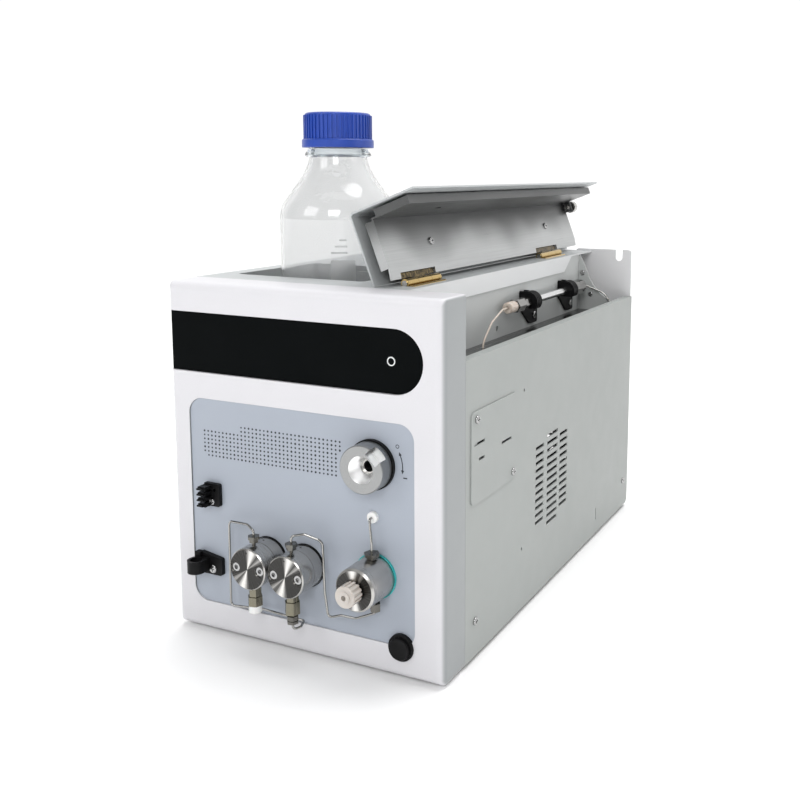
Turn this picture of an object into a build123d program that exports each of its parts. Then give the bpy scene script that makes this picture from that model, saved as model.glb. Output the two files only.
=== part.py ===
from build123d import *
import os
import math

# Compact liquid-chromatography system: one metal case that carries a two-head
# solvent pump, a purge valve and an injection valve on its front, a well for
# solvent bottles in its top and a lidded compartment for the column at its right.
# Millimetres, +Z up, front towards -Y.  Everything is laid out in a layout frame
# (x = 0 left side, y = 0 front face, z = 0 underside of the case) and moved at the
# end so that the origin is the bottom centre of the whole object's box.

os.makedirs("parts", exist_ok=True)

# ---------------------------------------------------------------- dimensions
CASE_W = 212.0          # width of the case
CASE_D = 384.0          # depth of the case
CASE_H = 244.2          # height of the case without its feet
SHEET = 1.2             # sheet metal of the covers
BEZEL_D = 30.0          # how far the front bezel wraps back
BEZEL_T = 2.5           # wall of the bezel
BEZEL_FRONT_T = 3.0     # front wall of the bezel
BEZEL_R = 5.5           # front edge rounding
FOOT_H = 2.5
FOOT_R = 7.0

PANEL = (16.1, 191.9, 21.0, 165.5)      # front panel opening x0, x1, z0, z1
PANEL_R = 11.0
WINDOW = (183.2, 224.3, 198.4)          # z0, z1, right end of the display strip

HEAD_R = 14.0
HEAD_L = (79.8, 61.7)                   # left pump head axis x, z
HEAD_RT = (109.6, 61.7)                 # right pump head axis
HEAD_FRONT = -22.0
HEAD_SCREW = 9.4                        # screw offset each side of a head's axis
HEAD_SPLIT = -9.5
HEAD_BACK = 1.0
PORT_Y = -14.5                          # vertical port axis of the pump heads
PURGE = (163.4, 64.65)                  # purge valve axis
PURGE_R = 13.9
PURGE_FRONT = -25.0
PURGE_PORT_Y = -5.8
PURGE_UP_X = PURGE[0] + 1.1             # upper and lower ports of the purge valve
PURGE_LOW_X = PURGE[0] + 3.3
INJ = (161.7, 137.3)                    # injection valve axis
INJ_R = 15.4
GROM = (162.0, 103.2)
BTN = (182.0, 20.9)
BTN_R = 7.2
NECK_R = 11.8

TUBE_R = 0.8                            # steel capillary outside radius

WELL = (13.5, 121.0, 56.5, 152.0)       # x0, x1, y0, y1
WELL_FLOOR = 182.5
BOTTLE = (70.6, 104.3)
BOTTLE_R = 43.0

CMP_X = 172.0                           # left edge of the column compartment
CMP_FLOOR = 192.2                       # top of its floor
CMP_Y = (31.0, 350.0)
SIDE_TOP = 202.4                        # top edge of the right side panel
COL = (178.0, 215.5)                    # column axis x, z

HINGE = (158.5, 245.8)                  # lid hinge axis x, z
LID_OPEN = 111.2                        # degrees from closed to the open stop
LID_Y = (30.6, 385.0)
LID_TOP = 258.8                         # closed lid, outer top face
LID_SIDE = 212.0                        # closed lid, outer side face
LID_X0 = 162.2                          # closed lid, left edge
LID_Z0 = 208.0                          # closed lid, lower edge of its side
STUD = (199.0, 242.0)                   # thumbscrew axis with the lid closed
NOTCH = (195.4, 202.4, 235.4)            # slot in the rear panel, x0, x1, lowest point

FAN = (150.0, 62.0)                     # fan axis x, z
FAN_R = 27.0
INLET = (45.0, 40.0)                    # power inlet centre x, z


# ---------------------------------------------------------------- helpers
def bx(x0, x1, y0, y1, z0, z1):
    return Pos((x0 + x1) / 2, (y0 + y1) / 2, (z0 + z1) / 2) * Box(x1 - x0, y1 - y0, z1 - z0)


def cy(x, z, r, y0, y1):
    """cylinder along Y"""
    return Pos(x, (y0 + y1) / 2, z) * (Rot(90, 0, 0) * Cylinder(r, y1 - y0))


def cz(x, y, r, z0, z1):
    return Pos(x, y, (z0 + z1) / 2) * Cylinder(r, z1 - z0)


def cx(y, z, r, x0, x1):
    return Pos((x0 + x1) / 2, y, z) * (Rot(0, 90, 0) * Cylinder(r, x1 - x0))


def hexz(x, y, af, z0, z1, turn=0):
    return Pos(x, y, z0) * (Rot(0, 0, turn) * extrude(RegularPolygon(af / 2, 6, major_radius=False), z1 - z0))


def hexy(x, z, af, y0, y1, turn=0):
    s = Rot(0, 0, turn) * extrude(RegularPolygon(af / 2, 6, major_radius=False), y1 - y0)
    return Pos(x, y0, z) * (Rot(-90, 0, 0) * s)


def cone_y(x, z, r0, r1, y0, y1):
    """frustum along +Y, r0 at y0 and r1 at y1"""
    return Pos(x, (y0 + y1) / 2, z) * (Rot(-90, 0, 0) * Cone(r0, r1, y1 - y0))


def cone_z(x, y, r0, r1, z0, z1):
    return Pos(x, y, (z0 + z1) / 2) * Cone(r0, r1, z1 - z0)


def plate_xz(x0, x1, z0, z1, r, y0, y1):
    """rounded rectangle in XZ, between y0 and y1"""
    f = Pos((x0 + x1) / 2, (z0 + z1) / 2) * RectangleRounded(x1 - x0, z1 - z0, r)
    s = extrude(f, y1 - y0)                       # in XY, +Z
    return Pos(0, y1, 0) * (Rot(90, 0, 0) * s)    # x stays x, y -> z, z -> -y


def prism_xz(pts, y0, y1):
    """polygon given as x, z, between y0 and y1"""
    f = make_face(Polyline(*[(p[0], p[1]) for p in pts], close=True))
    s = extrude(f, y1 - y0)
    if s.bounding_box().max.Z < 1e-6:
        s = extrude(f, -(y1 - y0))
    return Pos(0, y1, 0) * (Rot(90, 0, 0) * s)


def revolve_z(pts, x, y):
    """closed profile of radius, height turned about a vertical axis"""
    f = make_face(Polyline(*[(p[0], 0, p[1]) for p in pts], close=True))
    return Pos(x, y, 0) * revolve(f, Axis.Z, 360)


def tube(pts, radii, r=TUBE_R):
    path = FilletPolyline(*pts, radius=radii)
    t = path % 0
    prof = Plane(origin=path @ 0, z_dir=t) * Circle(r)
    return sweep(prof, path=path)


def comp(*s):
    out = []
    for a in s:
        out.extend(a.solids())
    return Compound(children=out)


def one(a):
    s = a.solids()
    return s[0] if len(s) == 1 else Compound(children=list(s))


N = {}

# ---------------------------------------------------------------- base and feet
tray = bx(1.3, CASE_W - 1.3, 30.2, 382.7, 0.0, 1.5)
tray += bx(1.3, 2.8, 30.2, 382.7, 1.5, 15.0) + bx(CASE_W - 2.8, CASE_W - 1.3, 30.2, 382.7, 1.5, 15.0)
tray += bx(2.8, CASE_W - 2.8, 30.2, 31.7, 1.5, 18.0)
FEET = [(20.0, 46.0), (CASE_W - 20.0, 46.0), (20.0, 364.0), (CASE_W - 20.0, 364.0)]
for fx, fy in FEET:
    tray -= cz(fx, fy, 2.1, -1, 3)
for i in range(7):
    tray -= bx(60, 150, 120 + i * 8, 123 + i * 8, -1, 2)
N["base_tray"] = tray

feet = []
for fx, fy in FEET:
    f = cone_z(fx, fy, FOOT_R - 1.0, FOOT_R, -FOOT_H, 0.0)
    f += cz(fx, fy, 2.0, 0.0, 1.5) + cone_z(fx, fy, 3.4, 2.2, 1.5, 4.0)
    f -= cz(fx, fy, 2.4, -FOOT_H, -FOOT_H + 1.2)
    feet.append(f)
N["feet"] = comp(*feet)

# ---------------------------------------------------------------- front bezel
outer = bx(0, CASE_W, 0, BEZEL_D, 0, CASE_H)
outer = fillet(outer.edges().filter_by(Axis.Y), 2.2)
outer = fillet(outer.faces().sort_by(Axis.Y)[0].edges(), BEZEL_R)
inner = bx(BEZEL_T, CASE_W - BEZEL_T, BEZEL_FRONT_T, BEZEL_D + 1, BEZEL_T, CASE_H - BEZEL_T)
inner = fillet(inner.faces().sort_by(Axis.Y)[0].edges(), 2.5)
bez = outer - inner
bez -= plate_xz(*PANEL, PANEL_R, -1, BEZEL_FRONT_T + 1)
wz0, wz1, wx1 = WINDOW
wr = (wz1 - wz0) / 2
wzc = (wz0 + wz1) / 2
wxc = wx1 - wr


def strip(x0, g, y0, y1):
    s = bx(x0, wxc, y0, y1, wz0 - g, wz1 + g) + cy(wxc, wzc, wr + g, y0, y1)
    return s


bez -= strip(-1, 0.0, -1, 5.2)
bez -= cy(BTN[0], BTN[1], 9.0, -1, 8)
N["front_bezel"] = bez

win = strip(1.6, -0.15, 2.0, 3.2) + (strip(5.4, 4.0, 3.2, 5.0) + bx(1.6, 5.4, 3.2, 5.0, wz0 + 0.15, wz1 - 0.15))
N["display_window"] = one(win)

# ---------------------------------------------------------------- front panel
x0, x1, z0, z1 = PANEL
pan = plate_xz(x0 + 0.15, x1 - 0.15, z0 + 0.15, z1 - 0.15, PANEL_R - 0.15, 1.0, 3.1)
pan += plate_xz(x0 - 6, x1 + 6, z0 - 6, z1 + 6, PANEL_R + 5, 3.1, 4.6)
for (hx, hz), r in ((HEAD_L, 11.9), (HEAD_RT, 11.9), (PURGE, 11.9), (INJ, 8.3), (GROM, 2.6)):
    pan -= cy(hx, hz, r, 0, 6)
pan -= cy(BTN[0], BTN[1], 9.0, -1, 8)
CLIP_SCREWS = [(35.6, 94.6), (34.9, 46.8)]
for sx, sz in CLIP_SCREWS:
    pan -= cy(sx, sz, 1.5, 0, 6)
N["front_panel"] = one(pan)

# ---------------------------------------------------------------- side panels
VENTS = [(147.8, 163.8, 57.1, 11), (170.8, 192.6, 49.9, 13), (197.4, 214.4, 56.1, 11)]
PITCH = 5.76


def side_panel(xa, xb, top):
    p = bx(xa, xb, 30.2, CASE_D, 1.0, top)
    for (ya, yb, zb, n) in VENTS:
        for i in range(n):
            zc = zb + i * PITCH
            p -= bx(xa - 1, xb + 1, ya, yb, zc - 1.3, zc + 1.3)
    return p


rsp = side_panel(CASE_W - SHEET, CASE_W, SIDE_TOP)
rsp = chamfer(rsp.edges().filter_by(Axis.X).sort_by(Axis.Z)[0:2].sort_by(Axis.Y)[-1], 3.0)
rsp += bx(205.5, CASE_W - SHEET, 33.0, 382.0, SIDE_TOP - SHEET, SIDE_TOP)
rsp -= bx(CASE_W - 2, CASE_W + 1, 47, 100, 112, 161)                # window behind the access plate
rsp -= cx(124.1, 164.6, 1.2, CASE_W - 2, CASE_W + 1)
rsp -= cx(122.2, 46.9, 1.2, CASE_W - 2, CASE_W + 1)
rsp -= bx(CASE_W - 2, CASE_W + 1, 289.8, 291.2, 13.0, 24.0)
SIDE_SCREWS = [(44.4, 25.5), (368.2, 26.4)]
PLATE_SCREWS = [(44.6, 161.6), (103.0, 110.8)]
for sy, sz in SIDE_SCREWS + PLATE_SCREWS:
    rsp -= cx(sy, sz, 1.55, CASE_W - 2, CASE_W + 1)
N["right_side_panel"] = one(rsp)

lsp = side_panel(0.0, SHEET, CASE_H - SHEET)
for sy, sz in SIDE_SCREWS:
    lsp -= cx(sy, sz, 1.55, -1, 2)
N["left_side_panel"] = one(lsp)

plate = bx(CASE_W, CASE_W + 0.9, 36.8, 108.5, 105.6, 167.2)
plate = fillet(plate.edges().filter_by(Axis.X), 4.0)
for (ya, yb, zc) in ((41.2, 56.6, 145.4), (83.6, 100.0, 136.2), (47.9, 56.3, 134.4)):
    plate -= bx(CASE_W - 1, CASE_W + 2, ya, yb, zc - 0.9, zc + 0.9)
for sy, sz in PLATE_SCREWS:
    plate -= cx(sy, sz, 1.55, CASE_W - 1, CASE_W + 2)
N["access_plate"] = plate

# ---------------------------------------------------------------- top cover
top = bx(0, CMP_X, 30.2, CASE_D, CASE_H - SHEET, CASE_H)
fold = make_face(Polyline((30.2, 230.5), (308.5, 230.5), (326.4, 243.0), (326.4, CASE_H), (30.2, CASE_H), close=True))
top += Plane(origin=(CMP_X - SHEET, 0, 0), x_dir=(0, 1, 0), z_dir=(1, 0, 0)) * extrude(fold, SHEET)
top -= bx(154.5, 180, CASE_D - 1.4, CASE_D + 1, 240, 250)
top -= fillet(bx(WELL[0], WELL[1], WELL[2], WELL[3], 240, 250).edges().filter_by(Axis.Z), 4.0)
HINGES = [(48.0, 94.0), (281.0, 329.0)]
for ya, yb in HINGES:
    top -= bx(154.6, 166.4, ya - 0.8, yb + 0.8, 240, 250)
N["top_cover"] = one(top)

# ---------------------------------------------------------------- bottle well
w0, w1, w2, w3 = WELL
t = 1.0
wout = fillet(bx(w0 - t, w1 + t, w2 - t, w3 + t, WELL_FLOOR - t, CASE_H - SHEET).edges().filter_by(Axis.Z), 5.0)
win_ = fillet(bx(w0, w1, w2, w3, WELL_FLOOR, CASE_H + 2).edges().filter_by(Axis.Z), 4.0)
rim = fillet(bx(w0 - 6, w1 + 6, w2 - 6, w3 + 6, CASE_H - SHEET - t, CASE_H - SHEET).edges().filter_by(Axis.Z), 6.0)
N["bottle_well"] = one((wout + rim) - win_)

# ---------------------------------------------------------------- bottle, ring, cap
bz = WELL_FLOOR
BH = 173.0                              # height of the bottle's mouth above its base


def lathe(segs, x, y):
    """profile of straight (l) and smooth (s) runs of radius, height, turned about a vertical axis"""
    es = []
    for kind, g in segs:
        pts = [(q[0], 0, bz + q[1]) for q in g]
        es.extend((Spline(*pts) if kind == "s" else Polyline(*pts)).edges())
    return Pos(x, y, 0) * revolve(make_face(Wire(es)), Axis.Z, 360)


outer_s = [(43.0, 102.0), (42.3, 107.2), (40.2, 112.4), (36.8, 117.6), (32.6, 123.2), (28.4, 129.0), (24.8, 135.0), (22.2, 140.8), (21.0, 146.0)]
inner_s = [(18.4, 146.0), (19.6, 140.2), (22.2, 134.2), (25.9, 128.0), (30.2, 122.2), (34.4, 116.6), (37.8, 111.4), (39.9, 106.4), (40.7, 102.0)]
bot = lathe([("l", [(0, 0), (38.0, 0), (40.6, 0.5)]), ("s", [(40.6, 0.5), (42.0, 1.8), (42.8, 3.9), (43.0, 6.4)]), ("l", [(43.0, 6.4), (43.0, 102.0)]),
             ("s", outer_s), ("l", [(21.0, 146.0), (20.8, 148.0), (20.8, BH), (18.4, BH), (18.4, 146.0)]), ("s", inner_s),
             ("l", [(40.7, 102.0), (40.7, 7.0)]), ("s", [(40.7, 7.0), (39.6, 4.4), (36.4, 3.0), (30.0, 2.8)]),
             ("l", [(30.0, 2.8), (0, 3.8), (0, 0)])], *BOTTLE)
N["solvent_bottle"] = bot

rg = [(21.05, 145.9), (22.4, 146.0), (23.9, 146.9), (24.2, 147.7), (23.6, 148.9), (22.4, 150.4), (21.6, 151.8), (21.05, 151.8)]
N["pouring_ring"] = revolve_z([(r, bz + h) for r, h in rg], *BOTTLE)

CAP_Z = (152.7, 177.5)                  # lower edge and top of the cap above the bottle's base
cap = revolve_z([(r, bz + h) for r, h in [(21.15, CAP_Z[0]), (25.8, CAP_Z[0]), (26.0, CAP_Z[0] + 0.5), (26.0, CAP_Z[0] + 5.2), (25.4, CAP_Z[0] + 6.0),
                                          (24.0, CAP_Z[0] + 6.5), (24.0, CAP_Z[1] - 2.0), (23.5, CAP_Z[1] - 0.7), (22.4, CAP_Z[1]), (0, CAP_Z[1]),
                                          (0, BH + 0.35), (21.15, BH + 0.35)]], *BOTTLE)
ribs = []
for i in range(48):
    a = 2 * math.pi * i / 48
    rb = Rot(0, 0, math.degrees(a)) * bx(23.4, 24.8, -0.55, 0.55, bz + CAP_Z[0] + 6.2, bz + CAP_Z[1] - 1.7)
    ribs.append(Pos(BOTTLE[0], BOTTLE[1], 0) * rb)
for rb in ribs:
    cap += rb
N["bottle_cap"] = one(cap)

# ---------------------------------------------------------------- column compartment liner
lx = 169.5
lin = bx(lx, lx + 1.2, CMP_Y[0], CMP_Y[1] + 1.2, CMP_FLOOR - 1.2, 242.8)
lin += bx(lx + 1.2, 210.4, CMP_Y[0], CMP_Y[1] + 1.2, CMP_FLOOR - 1.2, CMP_FLOOR)
lin += prism_xz([(lx + 1.2, CMP_FLOOR), (206.0, CMP_FLOOR), (205.0, 198.8), (199.7, 202.0), (191.5, 207.8), (185.6, 214.4), (181.2, 221.4),
                 (178.4, 228.6), (175.4, 235.4), (172.6, 240.6), (171.4, 242.8), (lx + 1.2, 242.8)],
                CMP_Y[1], CMP_Y[1] + 1.2)
lin += bx(lx + 1.2, 210.4, CMP_Y[0], CMP_Y[0] + 1.2, CMP_FLOOR, 201.0)
lin += bx(lx + 1.2, 204.5, CMP_Y[0], CMP_Y[0] + 1.2, 201.0, 238.0)
lin -= cx(167.6, 199.6, 2.2, lx - 1, lx + 2)                        # tube port in the wall
lin -= cz(178.0, 127.0, 1.6, CMP_FLOOR - 2, CMP_FLOOR + 1)          # inlet tube port
lin -= cz(203.4, 346.0, 1.6, CMP_FLOOR - 2, CMP_FLOOR + 1)          # outlet tube port
WALL_Z = 201.6
WALL_SCREWS = [(236.3, WALL_Z), (321.8, WALL_Z)]
CLIP_FOOT_X = lx + 3.2                                              # outer face of the clips' foot tabs
for sy, sz in WALL_SCREWS:
    lin -= cx(sy, sz, 1.55, lx - 1, lx + 2)
lin -= bx(lx + 1.2, CMP_X + 0.1, CMP_Y[0] - 1, 330.0, 230.3, 244.0)
END_SCREWS = [(174.6, 226.1), (182.7, 206.6)]
for sx, sz in END_SCREWS:
    lin -= cy(sx, sz, 1.55, CMP_Y[1] - 1, CMP_Y[1] + 2)
N["compartment_liner"] = one(lin)

# ---------------------------------------------------------------- rear panel
rp = bx(SHEET + 0.1, CASE_W - SHEET - 0.1, CASE_D - SHEET, CASE_D, 1.6, CASE_H - SHEET - 0.1)
rp += bx(156.0, CASE_W - SHEET - 0.1, CASE_D - SHEET, CASE_D, 100, 246.0)
rp = fillet(rp.edges().filter_by(Axis.Y).sort_by(Axis.Z)[-2:], 3.0)
nr = (NOTCH[1] - NOTCH[0]) / 2
rp -= bx(NOTCH[0], NOTCH[1], CASE_D - 3, CASE_D + 1, NOTCH[2] + nr, 250)
rp -= cy(NOTCH[0] + nr, NOTCH[2] + nr, nr, CASE_D - 3, CASE_D + 1)
for k in range(-4, 5):
    half = math.sqrt(max(0.0, 26.0 ** 2 - (k * 6.0) ** 2))
    rp -= bx(FAN[0] - half, FAN[0] + half, CASE_D - 3, CASE_D + 1, FAN[1] + k * 6.0 - 1.8, FAN[1] + k * 6.0 + 1.8)
rp -= bx(INLET[0] - 14.0, INLET[0] + 14.0, CASE_D - 3, CASE_D + 1, INLET[1] - 10.3, INLET[1] + 10.3)
for k in range(2):                                                  # drain and waste outlets
    rp -= cy(100.0 + 12 * k, 150.0, 2.2, CASE_D - 3, CASE_D + 1)
FAN_SCREWS = [(FAN[0] + sx * 25.0, FAN[1] + sz * 25.0) for sx in (-1, 1) for sz in (-1, 1)]
REAR_SCREWS = [(8.0, 12.0), (CASE_W - 8.0, 12.0), (8.0, 228.0), (CASE_W - 22.0, 170.0)]
for sx, sz in REAR_SCREWS + FAN_SCREWS:
    rp -= cy(sx, sz, 1.55, CASE_D - 3, CASE_D + 1)
for sx in (-20.0, 20.0):
    rp -= cy(INLET[0] + sx, INLET[1], 1.55, CASE_D - 3, CASE_D + 1)
N["rear_panel"] = one(rp)


# ---------------------------------------------------------------- screws of the case
def pan_x(y, z, xh, length, sgn=1, r=2.8):
    """pan head screw along X, its head standing on x = xh and facing sgn"""
    if sgn > 0:
        s = cx(y, z, r, xh, xh + 1.5) + cx(y, z, 1.45, xh - length, xh)
        s = fillet(s.faces().sort_by(Axis.X)[-1].edges(), 0.9)
        s -= bx(xh + 0.7, xh + 2, y - 0.35, y + 0.35, z - 1.7, z + 1.7) + bx(xh + 0.7, xh + 2, y - 1.7, y + 1.7, z - 0.35, z + 0.35)
    else:
        s = cx(y, z, r, xh - 1.5, xh) + cx(y, z, 1.45, xh, xh + length)
        s -= bx(xh - 2, xh - 0.7, y - 0.35, y + 0.35, z - 1.7, z + 1.7) + bx(xh - 2, xh - 0.7, y - 1.7, y + 1.7, z - 0.35, z + 0.35)
    return s


def pan_y(x, z, yh, length, sgn=-1, r=2.8):
    """pan head screw along Y, its head standing on y = yh and facing sgn"""
    if sgn < 0:
        s = cy(x, z, r, yh - 1.5, yh) + cy(x, z, 1.45, yh, yh + length)
        s = fillet(s.faces().sort_by(Axis.Y)[0].edges(), 0.9)
        s -= bx(x - 1.7, x + 1.7, yh - 2, yh - 0.7, z - 0.35, z + 0.35) + bx(x - 0.35, x + 0.35, yh - 2, yh - 0.7, z - 1.7, z + 1.7)
    else:
        s = cy(x, z, r, yh, yh + 1.5) + cy(x, z, 1.45, yh - length, yh)
        s = fillet(s.faces().sort_by(Axis.Y)[-1].edges(), 0.9)
        s -= bx(x - 1.7, x + 1.7, yh + 0.7, yh + 2, z - 0.35, z + 0.35) + bx(x - 0.35, x + 0.35, yh + 0.7, yh + 2, z - 1.7, z + 1.7)
    return s


scr = []
for sy, sz in SIDE_SCREWS:
    scr.append(pan_x(sy, sz, CASE_W, 6.0))
    scr.append(pan_x(sy, sz, 0.0, 6.0, -1))
for sy, sz in PLATE_SCREWS:
    scr.append(pan_x(sy, sz, CASE_W + 0.9, 5.0))
for sx, sz in REAR_SCREWS:
    scr.append(pan_y(sx, sz, CASE_D, 5.0, 1))
for sx in (-20.0, 20.0):
    scr.append(pan_y(INLET[0] + sx, INLET[1], CASE_D, 5.0, 1))
for sx, sz in END_SCREWS:
    scr.append(pan_y(sx, sz, CMP_Y[1], 4.0, -1, 2.4))
for sx, sz in FAN_SCREWS:
    scr.append(pan_y(sx, sz, CASE_D, 12.0, 1))
for sy, sz in WALL_SCREWS:
    scr.append(pan_x(sy, sz, CLIP_FOOT_X, 6.0, 1, 3.0))
scr.append(pan_y(CLIP_SCREWS[0][0], CLIP_SCREWS[0][1], -2.0, 9.0, -1, 2.2))
scr.append(pan_y(CLIP_SCREWS[1][0], CLIP_SCREWS[1][1], -2.4, 9.0, -1, 3.0))
N["case_screws"] = comp(*scr)

# ---------------------------------------------------------------- hinges
hx, hz = HINGE
BEAD = (163.5, 242.6, 2.2)              # rolled edge of the fixed leaf
fixed, moving, pins = [], [], []
for ya, yb in HINGES:
    L = yb - ya
    k1, k2 = ya + L * 0.30, ya + L * 0.70
    f = cy(hx, hz, 3.0, ya, k1) + cy(hx, hz, 3.0, k2, yb)
    web = bx(hx - 2.2, hx, ya, k1, 241.8, hz) + bx(hx - 2.2, hx, k2, yb, 241.8, hz)
    f += web + bx(141.0, hx, ya, yb, 241.8, 242.5) + bx(141.0, hx - 4.4, ya, yb, 241.8, 243.0)
    f += bx(hx - 4.0, hx, ya, k1, 241.8, 243.0) + bx(hx - 4.0, hx, k2, yb, 241.8, 243.0)
    f += bx(hx, BEAD[0], ya, yb, 241.8, 242.4) + cy(BEAD[0], BEAD[1], BEAD[2], ya, yb)
    f -= cy(hx, hz, 1.25, ya - 1, yb + 1)
    f -= cy(hx, hz, 3.35, k1, k2)
    f -= cz(147.0, ya + 10, 1.55, 240, 245) + cz(147.0, yb - 10, 1.55, 240, 245)
    fixed.append(f)
    m = cy(hx, hz, 3.0, k1 + 0.25, k2 - 0.25)
    m += bx(hx, hx + 2.4, k1 + 0.25, k2 - 0.25, hz, hz + 3.0)
    m += bx(hx + 1.0, 176.0, k1 + 0.25, k2 - 0.25, hz + 1.8, hz + 3.0)
    m += bx(hx + 3.9, 176.0, ya, yb, hz + 1.8, hz + 3.0)
    m -= cy(hx, hz, 1.31, ya - 1, yb + 1)
    m -= cz(171.0, ya + 8, 1.55, 246, 251) + cz(171.0, yb - 8, 1.55, 246, 251)
    moving.append(m)
    p = cy(hx, hz, 1.25, ya, yb) + cy(hx, hz, 2.0, ya - 0.7, ya) + cy(hx, hz, 2.0, yb, yb + 0.7)
    pins.append(p)
N["hinge_fixed_leaves"] = comp(*fixed)
N["hinge_pins"] = comp(*pins)

# ---------------------------------------------------------------- lid, drawn closed and swung open
ls = SHEET
sect = [(LID_X0, LID_TOP - ls), (LID_SIDE - ls - 1.2, LID_TOP - ls), (LID_SIDE - ls, LID_TOP - ls - 1.2), (LID_SIDE - ls, LID_Z0),
        (LID_SIDE, LID_Z0), (LID_SIDE, LID_TOP - 2.2), (LID_SIDE - 0.7, LID_TOP - 0.7), (LID_SIDE - 2.2, LID_TOP), (LID_X0, LID_TOP)]
lid = prism_xz(sect, *LID_Y)
LID_SCREWS = [(184.5, 100.0), (184.5, 316.0)]
LZ = 245.3                       # underside of the liner's top with the lid closed
LX = 203.6                       # inner face of the liner's side
for sx, sy in LID_SCREWS:
    st = cz(sx, sy, 3.2, LZ + 1.0, LID_TOP - ls) - cz(sx, sy, 1.5, LZ + 0.5, LZ + 8.0)
    lid += st
N_lid = one(lid)

ll = prism_xz([(LID_X0, LZ + 1.2), (170.0, LZ), (LX + 1.0, LZ), (LX + 1.0, LZ + 1.0), (170.0, LZ + 1.0), (LID_X0, LZ + 2.2)], 34.6, 380.2)
ll += bx(LX, LX + 1.0, 34.6, 380.2, 216.0, LZ + 1.0)
ll += bx(LX + 1.0, 209.6, 34.6, 380.2, 216.0, 217.0)
for ya in (34.6, 379.2):
    ll += bx(170.0, 202.6, ya, ya + 1.0, LZ + 1.0, LZ + 6.6)
    ll += bx(LX + 1.0, 209.2, ya, ya + 1.0, 217.0, 242.5)
ll += bx(194.6, LX, 379.2, 380.2, 238.2, LZ)                        # bracket of the thumbscrew
ll -= cy(STUD[0], STUD[1], 1.96, 375, 385)
for sx, sy in LID_SCREWS:
    ll -= cz(sx, sy, 1.65, LZ - 1, LZ + 2)
for ya, yb in HINGES:
    ll -= bx(LID_X0 - 1, 166.2, ya - 0.8, yb + 0.8, LZ - 1, LZ + 4)
ll -= bx(LX - 1, LX + 2, 94.6, 99.8, 228.9, 231.1) + cx(94.6, 230.0, 1.1, LX - 1, LX + 2) + cx(99.8, 230.0, 1.1, LX - 1, LX + 2)
N_ll = one(ll)


def pan_z(x, y, zh, length, r=2.8):
    """pan head screw along Z, its head hanging under z = zh"""
    s = cz(x, y, r, zh - 1.5, zh) + cz(x, y, 1.45, zh, zh + length)
    s = fillet(s.faces().sort_by(Axis.Z)[0].edges(), 0.9)
    s -= bx(x - 1.7, x + 1.7, y - 0.35, y + 0.35, zh - 2, zh - 0.7) + bx(x - 0.35, x + 0.35, y - 1.7, y + 1.7, zh - 2, zh - 0.7)
    return s


N_ls = comp(*[pan_z(sx, sy, LZ, 7.0) for sx, sy in LID_SCREWS])

th = cy(STUD[0], STUD[1], 1.9, 374.5, 387.0) + cy(STUD[0], STUD[1], 5.5, 385.6, 393.0)
th += cy(STUD[0], STUD[1], 2.9, 376.6, 379.0)
th = chamfer(th.faces().sort_by(Axis.Y)[-1].edges(), 0.8)
for i in range(12):
    a = math.radians(30 * i)
    th -= cy(STUD[0] + 5.9 * math.cos(a), STUD[1] + 5.9 * math.sin(a), 0.8, 385.0, 394.0)
N_th = one(th)


def swing(s):
    """closed lid to its open stop"""
    return Pos(hx, 0, hz) * (Rot(0, -LID_OPEN, 0) * (Pos(-hx, 0, -hz) * s))


N["lid_outer"] = swing(N_lid)
N["lid_liner"] = swing(N_ll)
N["lid_screws"] = swing(N_ls)
N["lid_thumbscrew"] = swing(N_th)
N["hinge_moving_leaves"] = swing(comp(*moving))

# ---------------------------------------------------------------- column and its fittings
qx, qz = COL
CR = 3.175
colt = cy(qx, qz, CR, 200.0, 332.0) - cy(qx, qz, 2.0, 199.0, 333.0)
N["column_tube"] = colt
f1 = hexy(qx, qz, 8.8, 197.4, 209.2, 12) + cy(qx, qz, 4.0, 196.6, 197.4) + hexy(qx, qz, 9.6, 182.2, 196.6, 0)
f1 = chamfer(f1.faces().sort_by(Axis.Y)[0].edges(), 0.5)
f1 -= cy(qx, qz, CR, 200.0, 210.0) + cy(qx, qz, 2.4, 175.0, 191.0) + cy(qx, qz, 0.5, 185.0, 201.0)
f2 = cy(qx, qz, 6.4, 308.2, 310.6) + cy(qx, qz, 5.2, 310.6, 311.6) + (hexy(qx, qz, 11.8, 311.6, 333.6, 8) & cy(qx, qz, 6.6, 311.0, 334.0))
f2 += cone_y(qx, qz, 5.2, 3.4, 333.6, 338.4)
f2 -= cy(qx, qz, CR, 307.0, 332.0) + cy(qx, qz, 0.8, 331.0, 342.0)
N["column_end_fittings"] = comp(f1, f2)
nut = cy(qx, qz, 4.3, 169.6, 181.6) + cy(qx, qz, 2.35, 181.6, 190.0)
nut = chamfer(nut.faces().sort_by(Axis.Y)[0].edges(), 0.6)
nut -= cy(qx, qz, 0.82, 165, 195) + cone_y(qx, qz, 1.9, 0.8, 169.0, 170.8)
for i in range(16):
    a = math.radians(22.5 * i)
    nut -= cy(qx + 4.55 * math.cos(a), qz + 4.55 * math.sin(a), 0.45, 171.8, 180.6)
N["column_nut"] = one(nut)

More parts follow.
